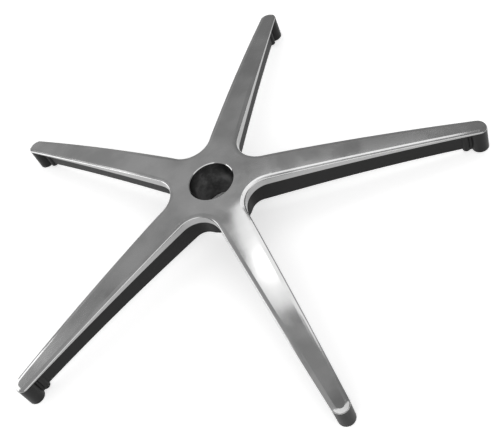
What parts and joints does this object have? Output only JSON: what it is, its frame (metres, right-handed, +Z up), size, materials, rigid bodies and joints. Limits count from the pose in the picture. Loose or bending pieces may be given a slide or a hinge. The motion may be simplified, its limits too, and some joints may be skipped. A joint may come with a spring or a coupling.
{
  "type": "office chair base",
  "caption": "Star-shaped cast base for a swivel chair: arched arms with a rim and a spine, a tapered hub for the gas lift and a caster socket under each tip.",
  "frame": {"origin": "on the hub's axis, at the hub's flat top", "axes": "+Z up along the hub's axis; +X along one arm, out to its tip"},
  "size_m": [0.5446, 0.5716, 0.0666],
  "materials": {
    "cast_aluminium": "polished on the top and round the rim, black paint on everything under the rim"
  },
  "bodies": {
    "root": {"star_base": "cast_aluminium"}
  },
  "joints": []
}
